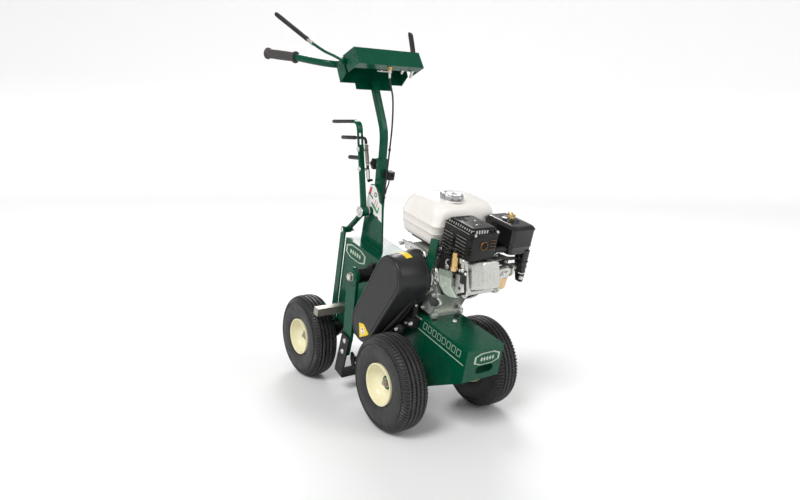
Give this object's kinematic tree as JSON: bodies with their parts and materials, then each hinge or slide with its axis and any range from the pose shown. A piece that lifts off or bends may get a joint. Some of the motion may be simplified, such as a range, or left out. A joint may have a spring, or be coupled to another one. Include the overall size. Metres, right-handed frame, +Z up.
{
  "type": "walk-behind sod cutter",
  "caption": "Walk-behind turf cutting machine: wheeled steel chassis, small petrol engine, oscillating U-shaped blade, depth lever and handlebar.",
  "frame": {"origin": "on the ground under the middle of the whole machine", "axes": "+X forward, towards the nose; +Y to the operator's left; +Z up"},
  "size_m": [0.8602, 0.4736, 1.1855],
  "materials": {
    "green_paint": "gloss dark green enamel",
    "black_paint": "satin black enamel",
    "tyre_rubber": "moulded black rubber",
    "cream_paint": "gloss cream enamel",
    "bare_steel": "bare steel, slightly dull",
    "bright_metal": "bright zinc or polished metal",
    "casting": "sand-cast aluminium, dull",
    "white_tank": "gloss white",
    "dark_cover": "matte dark grey moulding",
    "black_rubber": "soft black rubber",
    "brass": "yellow brass"
  },
  "bodies": {
    "chassis": {"chassis_frame": "green_paint", "lift_bar": "bare_steel", "shaft_housing_left": "black_paint", "shaft_housing_right": "black_paint", "drive_belt": "black_rubber", "belt_cover": "dark_cover", "crankcase": "casting", "cylinder": "casting", "cylinder_head": "casting", "rocker_cover": "bright_metal", "muffler": "black_paint", "air_cleaner": "dark_cover", "fuel_tank": "white_tank", "recoil_cover": "dark_cover", "carburettor": "casting", "spark_plug_cap": "black_rubber", "tank_bracket": "bright_metal", "cover_bracket": "green_paint", "mast_socket": "green_paint", "mast_tube": "green_paint", "stop_switch_box": "dark_cover", "quadrant_plate": "green_paint", "control_cover": "green_paint", "control_tray": "green_paint", "handlebar": "green_paint", "grip_left": "black_rubber", "grip_right": "black_rubber", "control_cable": "black_rubber"},
    "front_wheels": {"front_axle": "bare_steel", "front_left_tyre": "tyre_rubber", "front_left_rim": "cream_paint", "front_right_tyre": "tyre_rubber", "front_right_rim": "cream_paint"},
    "rear_yoke": {"rear_yoke": "black_paint", "rear_axle": "bare_steel"},
    "rear_wheel_left": {"rear_left_tyre": "tyre_rubber", "rear_left_rim": "cream_paint"},
    "rear_wheel_right": {"rear_right_tyre": "tyre_rubber", "rear_right_rim": "cream_paint"},
    "blade_frame": {"blade_arm_left": "green_paint", "blade_arm_right": "green_paint", "sod_blade": "black_paint", "rock_shaft": "bright_metal", "rocker_lever": "bare_steel"},
    "pitman_rod": {"pitman_rod": "bare_steel"},
    "crankshaft": {"engine_crankshaft": "bare_steel", "drive_pulley": "casting"},
    "eccentric": {"eccentric_shaft": "bare_steel", "driven_pulley": "casting"},
    "depth_lever": {"depth_lever": "green_paint"},
    "release_rod": {"release_rod": "black_paint"},
    "depth_link": {"depth_link": "green_paint"},
    "clutch_lever": {"clutch_lever": "black_paint"},
    "throttle_lever": {"throttle_lever": "black_paint"},
    "choke_lever": {"choke_lever": "dark_cover"},
    "fuel_cap": {"fuel_cap": "bright_metal"},
    "wing_nut": {"wing_nut": "brass"},
    "oil_dipstick": {"oil_dipstick": "dark_cover"},
    "clamp_knob": {"clamp_knob": "dark_cover"},
    "recoil_handle": {"recoil_handle": "black_rubber"}
  },
  "joints": [
    {"name": "front_wheel_roll", "type": "hinge", "parent": "chassis", "child": "front_wheels", "pos_m": [0.22653, 0, 0.1335], "axis": [0, 1, 0], "continuous": true},
    {"name": "rear_yoke_swing", "type": "hinge", "parent": "chassis", "child": "rear_yoke", "pos_m": [-0.13251, 0, 0.24583], "axis": [0, 1, 0], "range_deg": [0, 48.4]},
    {"name": "rear_left_roll", "type": "hinge", "parent": "rear_yoke", "child": "rear_wheel_left", "pos_m": [-0.27187, 0.15, 0.1335], "axis": [0, 1, 0], "continuous": true},
    {"name": "rear_right_roll", "type": "hinge", "parent": "rear_yoke", "child": "rear_wheel_right", "pos_m": [-0.27187, -0.15, 0.1335], "axis": [0, 1, 0], "continuous": true},
    {"name": "blade_rock", "type": "hinge", "parent": "chassis", "child": "blade_frame", "pos_m": [-0.00756, 0, 0.3805], "axis": [0, 1, 0], "range_deg": [-2.5, 2.5]},
    {"name": "pitman_pivot", "type": "hinge", "parent": "blade_frame", "child": "pitman_rod", "pos_m": [-0.0287, 0, 0.31455], "axis": [0, 1, 0], "range_deg": [-2.6, 2.6]},
    {"name": "crankshaft_spin", "type": "hinge", "parent": "chassis", "child": "crankshaft", "pos_m": [0.20098, 0, 0.41824], "axis": [0, 1, 0], "continuous": true},
    {"name": "eccentric_spin", "type": "hinge", "parent": "chassis", "child": "eccentric", "pos_m": [0.07245, 0, 0.25875], "axis": [0, 1, 0], "continuous": true},
    {"name": "depth_lever_swing", "type": "hinge", "parent": "chassis", "child": "depth_lever", "pos_m": [-0.09153, 0, 0.5616], "axis": [0, 1, 0], "range_deg": [0, 60]},
    {"name": "release_rod_lift", "type": "slide", "parent": "depth_lever", "child": "release_rod", "axis": [-0.1038, 0, 0.9946], "range_m": [0, 0.008], "stiffness_N_per_m": 400, "springref_m": -0.02},
    {"name": "depth_link_pivot", "type": "hinge", "parent": "depth_lever", "child": "depth_link", "pos_m": [-0.18709, 0, 0.49307], "axis": [0, 1, 0], "range_deg": [-60.4, 0]},
    {"name": "clutch_lever_squeeze", "type": "hinge", "parent": "chassis", "child": "clutch_lever", "pos_m": [-0.09427, 0, 1.01446], "axis": [0, 1, 0], "range_deg": [-10, 0], "stiffness_Nm_per_rad": 8, "springref_deg": 17.19},
    {"name": "throttle_lever_turn", "type": "hinge", "parent": "chassis", "child": "throttle_lever", "pos_m": [-0.09427, 0, 1.01446], "axis": [0, 1, 0], "range_deg": [-20, 25]},
    {"name": "choke_lever_turn", "type": "hinge", "parent": "chassis", "child": "choke_lever", "pos_m": [0.35201, 0.109, 0.46012], "axis": [0.2215, 0, 0.9751], "range_deg": [0, 70]},
    {"name": "fuel_cap_turn", "type": "hinge", "parent": "chassis", "child": "fuel_cap", "pos_m": [0.24522, 0.022, 0.63102], "axis": [0.2215, 0, 0.9751], "continuous": true},
    {"name": "wing_nut_turn", "type": "hinge", "parent": "chassis", "child": "wing_nut", "pos_m": [0.34952, 0.15, 0.57554], "axis": [0.2215, 0, 0.9751], "continuous": true},
    {"name": "dipstick_turn", "type": "hinge", "parent": "chassis", "child": "oil_dipstick", "pos_m": [0.27376, -0.049, 0.35043], "axis": [0.5555, -0.7543, 0.3498], "continuous": true},
    {"name": "clamp_knob_turn", "type": "hinge", "parent": "chassis", "child": "clamp_knob", "pos_m": [-0.09626, 0, 0.70778], "axis": [-0.9951, 0, 0.0989], "continuous": true},
    {"name": "recoil_pull", "type": "slide", "parent": "chassis", "child": "recoil_handle", "axis": [0, 1, 0], "range_m": [0, 0.6], "stiffness_N_per_m": 25, "springref_m": -0.6}
  ],
  "couplings": [
    {"joint": "rear_yoke_swing", "follows": "depth_lever_swing", "ratio": 0.8036},
    {"joint": "depth_link_pivot", "follows": "depth_lever_swing", "ratio": -0.9996},
    {"joint": "pitman_pivot", "follows": "blade_rock", "ratio": -1},
    {"joint": "eccentric_spin", "follows": "crankshaft_spin", "ratio": 0.54286}
  ]
}
